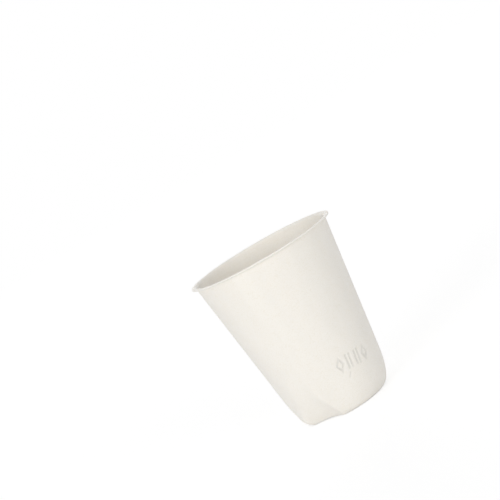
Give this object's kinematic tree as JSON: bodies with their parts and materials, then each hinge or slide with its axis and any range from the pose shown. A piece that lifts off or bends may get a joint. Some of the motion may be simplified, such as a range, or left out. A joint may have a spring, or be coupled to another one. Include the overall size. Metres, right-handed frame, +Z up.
{
  "type": "bagasse cup",
  "caption": "Moulded pulp drinking cup with a tapered wall, turned-out lip, rounded heel, raised base, a dent in the heel and a short row of pressed marks.",
  "frame": {"origin": "centre of the standing ring, on the table plane", "axes": "+Z up along the cup's axis, from the standing ring to the lip; -Y to the front, which has the marks to its right and the dent to its left"},
  "size_m": [0.08, 0.08, 0.091],
  "materials": {
    "moulded_pulp": "matte off-white pressed plant fibre"
  },
  "bodies": {
    "root": {"cup": "moulded_pulp"}
  },
  "joints": []
}
